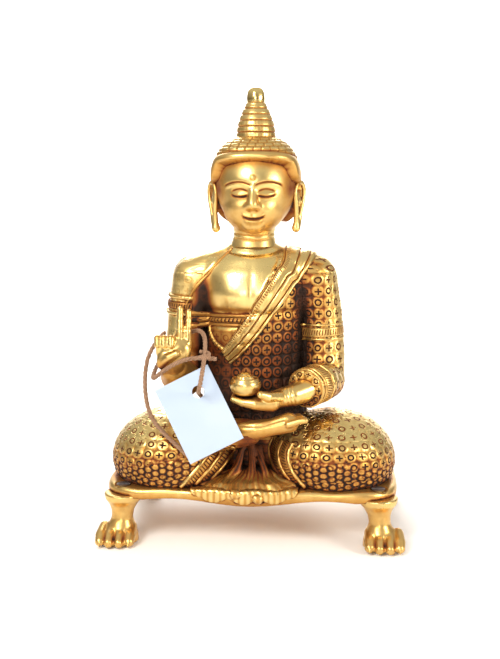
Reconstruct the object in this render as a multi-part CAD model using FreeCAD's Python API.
import FreeCAD
import Part
import math
import os

V = FreeCAD.Vector

# ---- stool: plate, legs, screws -------------------------------------------
SEAT_Z = 33.0
PLATE_T = 4.5
PLATE_HALF_X = 83.0
PLATE_HALF_Y = 50.0
PLATE_SQUARENESS = 5.0
PLATE_WAIST = 0.035
APRON_WIDTH = 4.0
APRON_LOW_Z = SEAT_Z - 8.5
APRON_HIGH_Z = SEAT_Z - 5.4
LEG_X = 71.5
LEG_Y = 37.0
LEG_SHAFT_R = 6.4
PAW_OUT_X = 85.0
PAW_FRONT_Y = 54.0
PAW_LEAN = 1.9
PAW_BACK = 3.0
TOE_R = 3.3
TOE_LENGTH = 6.5
TOE_Z = 4.0
TOE_COUNT = 4
TOE_ARCH = 2.2
CLAW_R = 1.1
CLAW_TIP_R = 0.35
CLAW_LENGTH = 2.6
SCREW_R = 2.0
SCREW_HEAD_R = 3.9
SCREW_LENGTH = 14.0
SCREW_SLOT = 0.9
THREAD_GAP = 0.05

# ---- centre bolt that holds the figure to the stool -----------------------
BOLT_R = 3.0
BOLT_Y = 12.0
BOLT_HEAD_AF = 10.0
BOLT_HEAD_H = 4.0
BOLT_GRIP = 20.0
BOLT_CLEAR = 0.25
WASHER_R = 7.0
WASHER_T = 1.2
BOSS_R = 7.5

# ---- lap ------------------------------------------------------------------
KNEE_X = 46.0
KNEE_Y = -12.0
KNEE_Z = 44.0
KNEE_RADII = (36.0, 35.0, 28.0)
HIP_RADII = (44.0, 32.0, 40.0)
HIP_Y = 10.0
HIP_Z = 38.0
SHIN_POINTS = ((-34, -29, 60), (-16, -37, 62.5), (0, -41, 65))
SHIN_RADII = (11.0, 9.5, 7.5)
CAST_WALL = 4.0
FAN_PLEATS = 9
FAN_STEP = 16.0
FAN_Y = -22.0
FAN_INNER = 12.0
FAN_REACH = 28.5
FAN_INNER_Z = 38.5
FAN_TIP_Z = 34.0
FAN_RADII = (3.0, 4.6)
FOOT_POINTS = ((-4, -42.5, 66.5), (8, -42.8, 67.5), (22, -40.8, 70.5))
FOOT_RADII = (5.6, 6.2, 6.0)
FOOT_TOES = 5
FOOT_TOE_Y = -46.0
FOOT_TOE_PITCH = 2.9
FOOT_TOE_RADII = (2.1, 1.5)

# ---- upper body -----------------------------------------------------------
TORSO_FOOT_Z = 58.0
NECK_JOIN_Z = 165.0
NECK_R = 12.0
SPIGOT_R = 6.5
SPIGOT_LENGTH = 12.0
SPIGOT_GAP = 0.05
CLOTH_T = 2.0
TORSO_Y = 1.0
TORSO_RINGS = (
    (TORSO_FOOT_Z, 31.0, 24.0, 25.0),
    (74.0, 30.0, 23.0, 24.0),
    (100.0, 27.0, 21.0, 21.0),
    (120.0, 27.5, 21.5, 20.0),
    (138.0, 31.0, 23.0, 21.0),
    (150.0, 32.0, 20.5, 20.0),
    (158.0, 26.0, 16.5, 17.0),
    (163.0, 17.0, 12.5, 13.0),
    (NECK_JOIN_Z + 1.0, NECK_R + 1.5, NECK_R, NECK_R),
)
TORSO_HOLLOW_TOP_Z = 148.0
ELBOW_X = 41.0
ARM_POINTS = ((11, 1, 153), (34, 2, 145.5), (39.5, 2, 126), (ELBOW_X, 0, 104), (ELBOW_X, -4, 88))
ARM_RADII = (12.6, 13.6, 11.0, 11.0, 11.0)
SASH_OUTLINE = (
    (13.9, 156), (3.7, 136), (-10.6, 114), (-21, 101), (-21, 97),
    (-13, 102), (4.6, 117), (21.5, 138.5), (31, 152), (24, 170), (14, 170),
)
BAND_LOW_Z = 119.0
BAND_HIGH_Z = 128.5
BAND_T = 1.6

# ---- arms and hands -------------------------------------------------------
BARE_ARM_POINTS = ((-ELBOW_X, -8, 88), (-42.5, -19, 92), (-42.5, -30, 98))
BARE_ARM_RADII = (11.4, 10.0, 8.4)
SLEEVE_POINTS = ((ELBOW_X, -8, 87.5), (38.0, -18, 88.2), (31, -27.5, 87.2))
SLEEVE_RADII = (11.4, 10.8, 10.2)
CUFF_CENTRE = (29.3, -29.2, 86.9)
CUFF_FACING = (-0.66, -0.62, -0.2)
RAISED_WRIST = ((-42.5, -30, 97), (-42.0, -36, 104))
RAISED_WRIST_RADII = (6.2, 6.6)
RAISED_PALM = (-41.5, -38.5, 111)
RAISED_PALM_RADII = (9.8, 5.2, 10.5)
RAISED_FINGERS = (
    ((-38.4, -38, 114), (-37.6, -37, 132.8), 2.6, 1.9),
    ((-33.8, -37, 112), (-33.2, -35, 131.0), 2.5, 1.8),
    ((-48.2, -40.0, 108), (-49.2, -42.6, 116.8), 2.6, 2.05),
    ((-44.4, -40.0, 108), (-45.4, -42.6, 116.8), 2.6, 2.05),
    ((-40.6, -40.0, 108), (-41.6, -42.6, 116.8), 2.6, 2.05),
    ((-46, -39.5, 103), (-38.5, -44.0, 108.5), 3.4, 2.3),
)
OPEN_PALM = ((33, -26, 86.5), (24, -33, 84), (12, -38, 81.5))
OPEN_PALM_RADII = (6.4, 6.0, 5.4)
OPEN_THUMB = ((14, -42.0, 82.5), (7.5, -49.0, 87), 3.3, 2.2)
OPEN_FINGER_Y = -46.0
OPEN_FINGER_PITCH = 3.3
OPEN_FINGER_COUNT = 4

# ---- head -----------------------------------------------------------------
HEAD_LEAN = 1.5
SKULL_Z = 199.0
SKULL_RADII = (23.0, 25.0, 26.0)
JAW_Z = 187.0
JAW_RADII = (18.0, 19.0, 15.5)
HAIR_T = 3.4
HAIRLINE_Z = 212.0
EAR_X = 23.2
EAR_TOP_Z = 201.5
EAR_LOW_Z = 173.0
EAR_RADII = (2.6, 5.0, 9.5)
NOSE_POINTS = ((HEAD_LEAN, -22.0, 196.5), (HEAD_LEAN, -24.4, 189.5))
NOSE_RADII = (2.0, 2.9)
HAIR_OPENING = (
    (-30, 160), (30, 160), (27, 193), (21, 203), (19, 209), (10, HAIRLINE_Z),
    (-7, HAIRLINE_Z), (-16, 209), (-18, 203), (-24, 193),
)
HAIR_LOW_Z = 178.0
KNOT_FOOT_Z = 224.0
KNOT_TOP_Z = 245.0
KNOT_FOOT_R = 12.0
KNOT_TOP_R = 5.3
KNOT_RINGS = 6
KNOT_RING_DEPTH = 0.45
KNOT_Y = 1.5
JEWEL_R = 5.2
JEWEL_TOP_Z = 254.0
JEWEL_PIN_R = 2.0
JEWEL_PIN_LENGTH = 5.0

# ---- bowl -----------------------------------------------------------------
BOWL_X = -1.8
BOWL_Y = -41.0
BOWL_FOOT_Z = 86.0
BOWL_R = 8.4
BOWL_H = 9.5
BOWL_WALL = 1.6
OFFERING_RISE = 3.2

# ---- swing tag and twine --------------------------------------------------
TAG_W = 32.0
TAG_L = 44.0
TAG_T = 0.4
TAG_HOLE_R = 3.4
TAG_HOLE_IN = 11.0
TAG_ROLL = 27.0
TAG_LEAN = 11.3
TAG_HOLE = (-26.4, -51.0, 89.6)
TWINE_R = 1.3
KNOT_R = 3.4
TWINE_ROUTE = (
    (-16.0, -52.5, 108.0),
    (-26.5, -53.8, 109.2),
    (-37.0, -51.0, 106.0),
    (-46.5, -46.0, 99.5),
    (-53.0, -38.0, 93.5),
    (-55.2, -28.0, 93.5),
    (-53.5, -18.8, 99.5),
    (-46.0, -15.5, 107.5),
    (-37.5, -20.5, 115.5),
    (-30.0, -29.0, 120.0),
    (-24.8, -39.0, 120.0),
    (-22.4, -49.0, 116.5),
    (-22.0, -57.6, 110.6),
    (-22.2, -62.8, 104.6),
    (-23.6, -63.2, 96.4),
    (-25.6, -56.6, 90.6),
    (-26.8, -47.3, 88.4),
    (-23.0, -42.0, 81.5),
    (-18.5, -44.0, 73.0),
    (-16.0, -49.3, 65.0),
    (-18.2, -51.5, 57.2),
    (-24.8, -51.5, 52.8),
    (-32.3, -49.0, 52.4),
    (-39.0, -46.0, 58.0),
    (-46.6, -42.2, 63.4),
    (-54.5, -39.0, 71.5),
    (-58.0, -35.5, 81.0),
    (-59.0, -32.5, 92.0),
    (-58.3, -29.0, 102.5),
    (-54.0, -26.5, 112.0),
    (-47.5, -27.5, 118.5),
)


def blob(centre, radii):
    ball = Part.makeSphere(1.0)
    m = FreeCAD.Matrix()
    m.scale(V(*radii))
    shaped = ball.transformGeometry(m)
    shaped.translate(V(*centre))
    return shaped


def ring(cx, cy, z, rx, front, back, count=16):
    pts = []
    for i in range(count):
        a = 2 * math.pi * i / count
        ry = back if math.sin(a) > 0 else front
        pts.append(V(cx + rx * math.cos(a), cy + ry * math.sin(a), z))
    curve = Part.BSplineCurve()
    curve.interpolate(pts, PeriodicFlag=True)
    return Part.Wire(curve.toShape())


def loft(rings):
    return Part.makeLoft(rings, True, False)


def limb(points, radii):
    """Round bar through points, one radius at each, with ball ends."""
    body = None
    for i in range(len(points) - 1):
        a = V(*points[i])
        b = V(*points[i + 1])
        step = b.sub(a)
        cone = taper(a, step, radii[i], radii[i + 1])
        body = cone if body is None else body.fuse(cone)
    for p, r in zip(points, radii):
        body = body.fuse(Part.makeSphere(r, V(*p)))
    return body


def taper(base, step, r1, r2):
    if abs(r1 - r2) < 1e-6:
        return Part.makeCylinder(r1, step.Length, base, step)
    return Part.makeCone(r1, r2, step.Length, base, step)


def slab(z_low, z_high, half=200.0):
    return Part.makeBox(2 * half, 2 * half, z_high - z_low, V(-half, -half, z_low))


def less(shape, *others):
    for other in others:
        shape = shape.cut(other)
    return shape


def main_solids(shape, smallest=20.0):
    """The solids of a shape, without specks left over from cutting."""
    kept = [s for s in shape.Solids if s.Volume > smallest]
    return kept[0] if len(kept) == 1 else Part.makeCompound(kept)


def mirrored_x(shape):
    return shape.mirror(V(0, 0, 0), V(1, 0, 0))


def mirrored_y(shape):
    return shape.mirror(V(0, 0, 0), V(0, 1, 0))


# ---- stool ----------------------------------------------------------------

def plate_outline(inset=0.0, z=0.0, count=64):
    """Squared oval with a shallow waist between the corners and the middle."""
    pts = []
    for i in range(count):
        a = 2 * math.pi * i / count
        c = math.cos(a)
        s = math.sin(a)
        reach = (abs(c) ** PLATE_SQUARENESS + abs(s) ** PLATE_SQUARENESS) ** (-1.0 / PLATE_SQUARENESS)
        x = (PLATE_HALF_X - inset) * c * reach
        waist = 1.0 - PLATE_WAIST * (1 - math.cos(2 * math.pi * x / PLATE_HALF_X)) * abs(s)
        pts.append(V(x, (PLATE_HALF_Y - inset) * s * reach * waist, z))
    curve = Part.BSplineCurve()
    curve.interpolate(pts, PeriodicFlag=True)
    return Part.Face(Part.Wire(curve.toShape()))


def apron_profile():
    """Front view of the apron: low in the middle, high towards the legs."""
    half = PLATE_HALF_X + 1.0
    pts = []
    for i in range(25):
        x = -half + 2 * half * i / 24
        rise = 0.5 - 0.5 * math.cos(2 * math.pi * x / half)
        pts.append(V(x, -PLATE_HALF_Y - 5, APRON_LOW_Z + (APRON_HIGH_Z - APRON_LOW_Z) * rise))
    curve = Part.BSplineCurve()
    curve.interpolate(pts)
    a = V(half, -PLATE_HALF_Y - 5, SEAT_Z)
    b = V(-half, -PLATE_HALF_Y - 5, SEAT_Z)
    edges = [curve.toShape(), Part.makeLine(pts[-1], a), Part.makeLine(a, b), Part.makeLine(b, pts[0])]
    return Part.Face(Part.Wire(edges)).extrude(V(0, 2 * PLATE_HALF_Y + 10, 0))


def leg_spots():
    return [(sx * LEG_X, sy * LEG_Y) for sx in (-1, 1) for sy in (-1, 1)]


def screw(x, y, gap=0.0):
    head_h = SCREW_HEAD_R - SCREW_R
    top = SEAT_Z
    head = Part.makeCone(SCREW_R + gap, SCREW_HEAD_R + gap, head_h, V(x, y, top - head_h))
    shank = Part.makeCylinder(SCREW_R + gap, SCREW_LENGTH - head_h, V(x, y, top - SCREW_LENGTH))
    return head.fuse(shank)


def leg_screws():
    shapes = []
    for x, y in leg_spots():
        one = screw(x, y)
        corner = V(x - SCREW_HEAD_R - 0.5, y - SCREW_SLOT / 2, SEAT_Z - 1.0)
        slot = Part.makeBox(2 * SCREW_HEAD_R + 1, SCREW_SLOT, 1.0, corner)
        shapes.append(one.cut(slot))
    return Part.makeCompound(shapes)


def stool_top():
    under_z = SEAT_Z - PLATE_T
    plate = plate_outline(0.0, under_z).extrude(V(0, 0, PLATE_T))
    skirt = plate_outline(0.0, APRON_LOW_Z).extrude(V(0, 0, under_z - APRON_LOW_Z))
    skirt = skirt.cut(plate_outline(APRON_WIDTH, APRON_LOW_Z).extrude(V(0, 0, under_z - APRON_LOW_Z)))
    body = plate.fuse(skirt).common(apron_profile())
    for x, y in leg_spots():
        body = body.cut(screw(x, y, THREAD_GAP))
    hole = Part.makeCylinder(BOLT_R + BOLT_CLEAR, PLATE_T + 2, V(0, BOLT_Y, under_z - 1))
    return body.cut(hole)


def front_right_leg(stool):
    top_z = SEAT_Z - PLATE_T
    y = -LEG_Y
    rings = [
        ring(LEG_X - 1.5, y, top_z, 12.0, 11.0, 11.0),
        ring(LEG_X - 0.5, y, top_z - 3.0, 9.4, 9.0, 9.0),
        ring(LEG_X, y, top_z - 7.5, LEG_SHAFT_R, LEG_SHAFT_R, LEG_SHAFT_R),
        ring(LEG_X + 0.8, y - 1.5, 13.5, LEG_SHAFT_R + 0.4, LEG_SHAFT_R + 0.6, LEG_SHAFT_R),
        ring(LEG_X + 1.6, y - 3.0, 6.0, 9.6, 10.4, 8.0),
        ring(LEG_X + PAW_LEAN, y - PAW_BACK, 0.0, 10.0, 10.0, 7.5),
    ]
    leg = loft(rings)
    half = PAW_OUT_X - (LEG_X + PAW_LEAN)
    pitch = 2 * (half - TOE_R) / (TOE_COUNT - 1)
    for i in range(TOE_COUNT):
        across = -half + TOE_R + i * pitch
        lead = TOE_ARCH * (across / half) ** 2
        x = LEG_X + PAW_LEAN + across
        toe_y = -PAW_FRONT_Y + TOE_LENGTH + lead
        leg = leg.fuse(blob((x, toe_y, TOE_Z), (TOE_R, TOE_LENGTH, TOE_Z + 0.6)))
        claw = V(x, toe_y - TOE_LENGTH + 2.1, TOE_Z - 1.0)
        leg = leg.fuse(Part.makeCone(CLAW_R, CLAW_TIP_R, CLAW_LENGTH, claw, V(0, -0.7, -0.7)))
    leg = leg.common(slab(0.0, top_z))
    leg = leg.cut(screw(LEG_X, y, THREAD_GAP))
    leg = leg.cut(stool)
    return main_solids(leg)


# ---- centre bolt ----------------------------------------------------------

def fixing_bolt():
    head_top = SEAT_Z - PLATE_T - WASHER_T
    shank = Part.makeCylinder(BOLT_R, BOLT_GRIP, V(0, BOLT_Y, head_top))
    rad = BOLT_HEAD_AF / math.sqrt(3.0)
    pts = []
    for i in range(7):
        a = i * math.pi / 3
        pts.append(V(rad * math.cos(a), BOLT_Y + rad * math.sin(a), head_top))
    head = Part.Face(Part.makePolygon(pts)).extrude(V(0, 0, -BOLT_HEAD_H))
    return shank.fuse(head)


def fixing_washer():
    z = SEAT_Z - PLATE_T - WASHER_T
    disc = Part.makeCylinder(WASHER_R, WASHER_T, V(0, BOLT_Y, z))
    return disc.cut(Part.makeCylinder(BOLT_R + BOLT_CLEAR, WASHER_T, V(0, BOLT_Y, z)))


# ---- lap ------------------------------------------------------------------

def lap_form(shrink=0.0):
    radii = [r - shrink for r in KNEE_RADII]
    knee = blob((KNEE_X, KNEE_Y, KNEE_Z), radii)
    hips = blob((0, HIP_Y, HIP_Z), [r - shrink for r in HIP_RADII])
    form = hips.fuse(knee).fuse(mirrored_x(knee))
    if shrink == 0.0:
        form = form.fuse(limb(SHIN_POINTS, SHIN_RADII))
    return form


def lap(form, torso):
    solid = form.common(slab(SEAT_Z, 120.0))
    hollow = lap_form(CAST_WALL).common(slab(SEAT_Z - 1, TORSO_FOOT_Z - CAST_WALL))
    boss = Part.makeCylinder(BOSS_R, TORSO_FOOT_Z - SEAT_Z, V(0, BOLT_Y, SEAT_Z))
    threads = Part.makeCylinder(BOLT_R + THREAD_GAP, BOLT_GRIP, V(0, BOLT_Y, SEAT_Z - PLATE_T))
    body = less(solid, hollow).fuse(boss.common(solid))
    return main_solids(less(body, threads, torso))


# ---- hem fan in front of the crossed legs ---------------------------------

def hem_fan(stool, lap_solid):
    fan = None
    for i in range(FAN_PLEATS):
        a = math.radians(-90 + (i - (FAN_PLEATS - 1) / 2) * FAN_STEP)
        inner = (FAN_INNER * math.cos(a), FAN_Y + FAN_INNER * math.sin(a), FAN_INNER_Z)
        tip = (FAN_REACH * math.cos(a), FAN_Y + FAN_REACH * math.sin(a), FAN_TIP_Z)
        pleat = limb([inner, tip], FAN_RADII)
        fan = pleat if fan is None else fan.fuse(pleat)
    fan = fan.common(slab(30.0, 60.0))
    block = plate_outline(0.0, 20.0).extrude(V(0, 0, SEAT_Z - 20.0))
    return main_solids(less(fan, block, lap_solid))


# ---- upper body -----------------------------------------------------------

def torso_form(extra=0.0):
    rings = [ring(0, TORSO_Y, z, rx + extra, f + extra, b + extra) for z, rx, f, b in TORSO_RINGS]
    return loft(rings).common(slab(TORSO_FOOT_Z, NECK_JOIN_Z))


def upper_arm():
    return limb(ARM_POINTS, ARM_RADII)


def upper_body(torso, arms, lap_shape):
    form = torso.fuse(arms)
    hollow = torso_form(-CAST_WALL).common(slab(TORSO_FOOT_Z - 1, TORSO_HOLLOW_TOP_Z))
    socket_z = NECK_JOIN_Z - SPIGOT_LENGTH - 2.0
    socket = Part.makeCylinder(SPIGOT_R + SPIGOT_GAP, SPIGOT_LENGTH + 2.0, V(0, 0, socket_z))
    return main_solids(less(form.common(slab(0.0, NECK_JOIN_Z)), hollow, socket, lap_shape))


def prism(points):
    """Closed outline in the X-Z plane, carried through from front to back."""
    pts = [V(x, -60, z) for x, z in points]
    pts.append(pts[0])
    return Part.Face(Part.makePolygon(pts)).extrude(V(0, 120, 0))


def sash(torso, arms):
    cloth = torso_form(CLOTH_T).cut(torso).common(prism(SASH_OUTLINE))
    return main_solids(less(cloth, arms))


def waist_band(torso, arms, sash_shape):
    cloth = torso_form(BAND_T).cut(torso).common(slab(BAND_LOW_Z, BAND_HIGH_Z))
    front = Part.makeBox(100, 60, 60, V(-50, -60, 100))
    return main_solids(less(cloth.common(front), sash_shape, arms))


# ---- arms and hands (named for the figure's own right and left) -----------

def right_forearm(body, lap_solid, hand):
    form = limb(BARE_ARM_POINTS, BARE_ARM_RADII)
    return main_solids(less(form, body, lap_solid, hand))


def finger(base, tip, r1, r2):
    """Taper with a ball at the tip; its base is buried in the palm."""
    a = V(*base)
    b = V(*tip)
    return taper(a, b.sub(a), r1, r2).fuse(Part.makeSphere(r2, b))


def right_hand():
    form = limb(RAISED_WRIST, RAISED_WRIST_RADII).fuse(blob(RAISED_PALM, RAISED_PALM_RADII))
    for base, tip, r1, r2 in RAISED_FINGERS:
        form = form.fuse(finger(base, tip, r1, r2))
    return main_solids(form)


def left_forearm(body, lap_shape, hand):
    form = limb(SLEEVE_POINTS, SLEEVE_RADII)
    mouth = Part.makeCylinder(16, 12, V(*CUFF_CENTRE), V(*CUFF_FACING))
    return main_solids(less(form, mouth, body, lap_shape, hand))


def left_hand(bowl):
    form = limb(OPEN_PALM, OPEN_PALM_RADII)
    for i in range(OPEN_FINGER_COUNT):
        y = OPEN_FINGER_Y + i * OPEN_FINGER_PITCH
        knuckle = (4.0, y, 82.0 + 0.2 * i)
        form = form.fuse(finger((13.0, -41.5 + i, 81.0), knuckle, 4.4, 3.5))
        form = form.fuse(finger(knuckle, (-7.5, y + 0.6, 84.0), 3.1, 1.8))
    form = form.fuse(finger(*OPEN_THUMB))
    return main_solids(less(form, bowl))


def right_foot(lap_solid):
    form = limb(FOOT_POINTS, FOOT_RADII)
    for i in range(FOOT_TOES):
        y = FOOT_TOE_Y + i * FOOT_TOE_PITCH
        form = form.fuse(finger((23, y, 70.8), (31.0 - 0.7 * i, y, 73.6), *FOOT_TOE_RADII))
    return main_solids(less(form, lap_solid))


# ---- bowl -----------------------------------------------------------------

def bowl_profile(inset=0.0):
    r = BOWL_R - inset
    return [
        V(0, 0, BOWL_FOOT_Z + inset),
        V(r * 0.55, 0, BOWL_FOOT_Z + inset),
        V(r * 0.93, 0, BOWL_FOOT_Z + BOWL_H * 0.35),
        V(r, 0, BOWL_FOOT_Z + BOWL_H * 0.68),
        V(r * 0.9, 0, BOWL_FOOT_Z + BOWL_H),
        V(0, 0, BOWL_FOOT_Z + BOWL_H),
    ]


def turned(points):
    pts = list(points)
    pts.append(pts[0])
    solid = Part.Face(Part.makePolygon(pts)).revolve(V(0, 0, 0), V(0, 0, 1), 360)
    solid.translate(V(BOWL_X, BOWL_Y, 0))
    return solid


def bowl_block():
    return turned(bowl_profile())


def alms_bowl():
    return main_solids(bowl_block().cut(turned(bowl_profile(BOWL_WALL))))


def bowl_offering():
    fill = turned(bowl_profile(BOWL_WALL))
    mouth_r = BOWL_R * 0.9 - BOWL_WALL
    dome = blob((BOWL_X, BOWL_Y, BOWL_FOOT_Z + BOWL_H), (mouth_r, mouth_r, OFFERING_RISE))
    return main_solids(fill.fuse(dome.common(slab(BOWL_FOOT_Z + BOWL_H, 200))))


# ---- head -----------------------------------------------------------------

def skull():
    top = blob((HEAD_LEAN, 2, SKULL_Z), SKULL_RADII)
    jaw = blob((HEAD_LEAN * 0.6, -3.5, JAW_Z), JAW_RADII)
    return top.fuse(jaw)


def ear(side):
    x = HEAD_LEAN + side * EAR_X
    top = blob((x, 1.0, EAR_TOP_Z - EAR_RADII[2] + 0.5), EAR_RADII)
    lobe = limb([(x, 0.5, EAR_TOP_Z - 14), (x - side * 1.2, 0.0, EAR_LOW_Z + 3.0)], [2.4, 3.0])
    return top.fuse(lobe)


def head(skull_shape):
    neck = limb([(0, 0, NECK_JOIN_Z - 2), (HEAD_LEAN * 0.5, 0, 184)], [NECK_R, NECK_R - 0.8])
    nose = limb(NOSE_POINTS, NOSE_RADII)
    form = skull_shape.fuse(neck).fuse(nose).fuse(ear(1)).fuse(ear(-1))
    form = form.common(slab(NECK_JOIN_Z, 260))
    spigot = Part.makeCylinder(SPIGOT_R, SPIGOT_LENGTH + 3.0, V(0, 0, NECK_JOIN_Z - SPIGOT_LENGTH))
    hollow = blob((HEAD_LEAN, 2, SKULL_Z), [r - CAST_WALL for r in SKULL_RADII])
    return main_solids(less(form.fuse(spigot), hollow))


def cap_form():
    return blob((HEAD_LEAN, 2.5, SKULL_Z + 0.5), [r + HAIR_T for r in SKULL_RADII])


def hair_cap(cap, skull_shape, head_shape):
    opening = prism(HAIR_OPENING).common(Part.makeBox(200, 57, 300, V(-100, -60, 0)))
    return main_solids(less(cap, opening, slab(0, HAIR_LOW_Z), skull_shape, head_shape))


def topknot(cap):
    steps = 2 * KNOT_RINGS
    profile = [V(0, 0, KNOT_FOOT_Z - 3), V(KNOT_FOOT_R, 0, KNOT_FOOT_Z - 3)]
    for i in range(steps + 1):
        t = i / steps
        r = KNOT_FOOT_R + (KNOT_TOP_R - KNOT_FOOT_R) * t ** 0.85
        r += KNOT_RING_DEPTH if i % 2 == 0 else -KNOT_RING_DEPTH
        profile.append(V(r, 0, KNOT_FOOT_Z + (KNOT_TOP_Z - KNOT_FOOT_Z) * t))
    profile.append(V(0, 0, KNOT_TOP_Z))
    profile.append(profile[0])
    body = Part.Face(Part.makePolygon(profile)).revolve(V(0, 0, 0), V(0, 0, 1), 360)
    pin_z = KNOT_TOP_Z - JEWEL_PIN_LENGTH - 1
    body = body.cut(Part.makeCylinder(JEWEL_PIN_R, JEWEL_PIN_LENGTH + 1, V(0, 0, pin_z)))
    body.translate(V(HEAD_LEAN, KNOT_Y, 0))
    return main_solids(body.cut(cap))


def finial_jewel():
    rise = JEWEL_TOP_Z - KNOT_TOP_Z
    ball = blob((0, 0, KNOT_TOP_Z + rise * 0.42), (JEWEL_R, JEWEL_R, rise * 0.58))
    ball = ball.common(slab(KNOT_TOP_Z, 300))
    pin = Part.makeCylinder(JEWEL_PIN_R, JEWEL_PIN_LENGTH + 0.5, V(0, 0, KNOT_TOP_Z - JEWEL_PIN_LENGTH))
    ball = ball.fuse(pin)
    ball.translate(V(HEAD_LEAN, KNOT_Y, 0))
    return main_solids(ball)


# ---- tag and twine --------------------------------------------------------

def tag_card():
    card = Part.makeBox(TAG_W, TAG_T, TAG_L, V(TAG_HOLE_IN - TAG_W, -TAG_T / 2, TAG_HOLE_IN - TAG_L))
    card = card.cut(Part.makeCylinder(TAG_HOLE_R, 4, V(0, -2, 0), V(0, 1, 0)))
    card.rotate(V(0, 0, 0), V(0, 1, 0), -TAG_ROLL)
    card.rotate(V(0, 0, 0), V(1, 0, 0), -TAG_LEAN)
    card.translate(V(*TAG_HOLE))
    return card


def rounded_route(points, report=False):
    """Straight runs joined by tangent arcs."""
    pts = [V(*p) for p in points]
    edges = []
    start = pts[0]
    for i in range(1, len(pts) - 1):
        back = pts[i - 1].sub(pts[i])
        ahead = pts[i + 1].sub(pts[i])
        run = min(back.Length, ahead.Length)
        turn = math.pi - back.getAngle(ahead)
        trim = 0.45 * run
        radius = trim / math.tan(turn / 2)
        back.normalize()
        ahead.normalize()
        a = pts[i].add(back * trim)
        b = pts[i].add(ahead * trim)
        inward = back.add(ahead)
        inward.normalize()
        centre = pts[i].add(inward * math.hypot(radius, trim))
        mid = centre.sub(inward * radius)
        edges.append(Part.makeLine(start, a))
        edges.append(Part.Arc(a, mid, b).toShape())
        start = b
        if report:
            print("corner %2d turn %5.1f deg radius %5.1f mm" % (i, math.degrees(turn), radius))
    edges.append(Part.makeLine(start, pts[-1]))
    return Part.Wire(edges)


def tag_twine(report=False):
    path = rounded_route(TWINE_ROUTE, report)
    first = V(*TWINE_ROUTE[0])
    along = V(*TWINE_ROUTE[1]).sub(first)
    section = Part.Wire(Part.makeCircle(TWINE_R, first, along))
    rope = path.makePipeShell([section], True, False)
    if report:
        print("twine length %.1f mm, volume %.1f" % (path.Length, rope.Volume))
    return rope


def twine_knot(twine):
    x, y, z = TWINE_ROUTE[12]
    lump = blob((x, y + 1.5, z - 0.5), (KNOT_R, KNOT_R, KNOT_R * 1.15))
    return main_solids(lump.cut(twine), 1.0)


def build():
    stool = stool_top()
    leg = front_right_leg(stool)
    torso = torso_form()
    arm = upper_arm()
    arms = arm.fuse(mirrored_x(arm))
    lap_solid = lap_form()
    lap_shape = lap(lap_solid, torso)
    body = upper_body(torso, arms, lap_shape)
    sash_shape = sash(torso, arms)
    hand = right_hand()
    bowl = bowl_block()
    bowl_hand = left_hand(bowl)
    skull_shape = skull()
    head_shape = head(skull_shape)
    cap = cap_form()
    twine = tag_twine(True)
    nodes = {
        "stool_top": stool,
        "leg_front_right": leg,
        "leg_front_left": mirrored_x(leg),
        "leg_rear_right": mirrored_y(leg),
        "leg_rear_left": mirrored_x(mirrored_y(leg)),
        "leg_screws": leg_screws(),
        "fixing_bolt": fixing_bolt(),
        "fixing_washer": fixing_washer(),
        "lap": lap_shape,
        "hem_fan": hem_fan(stool, lap_solid),
        "right_foot": right_foot(lap_solid),
        "upper_body": body,
        "sash": sash_shape,
        "waist_band": waist_band(torso, arms, sash_shape),
        "right_forearm": right_forearm(body, lap_solid, hand),
        "right_hand": hand,
        "left_forearm": left_forearm(body, lap_solid, bowl_hand),
        "left_hand": bowl_hand,
        "alms_bowl": alms_bowl(),
        "bowl_offering": bowl_offering(),
        "head": head_shape,
        "hair_cap": hair_cap(cap, skull_shape, head_shape),
        "topknot": topknot(cap),
        "finial_jewel": finial_jewel(),
        "tag_card": tag_card(),
        "tag_twine": twine,
        "twine_knot": twine_knot(twine),
    }
    os.makedirs("parts", exist_ok=True)
    for name, shape in nodes.items():
        print(name, len(shape.Solids), round(shape.Volume / 1000.0, 2), shape.isValid())
        shape.exportStep("parts/%s.step" % name)


build()
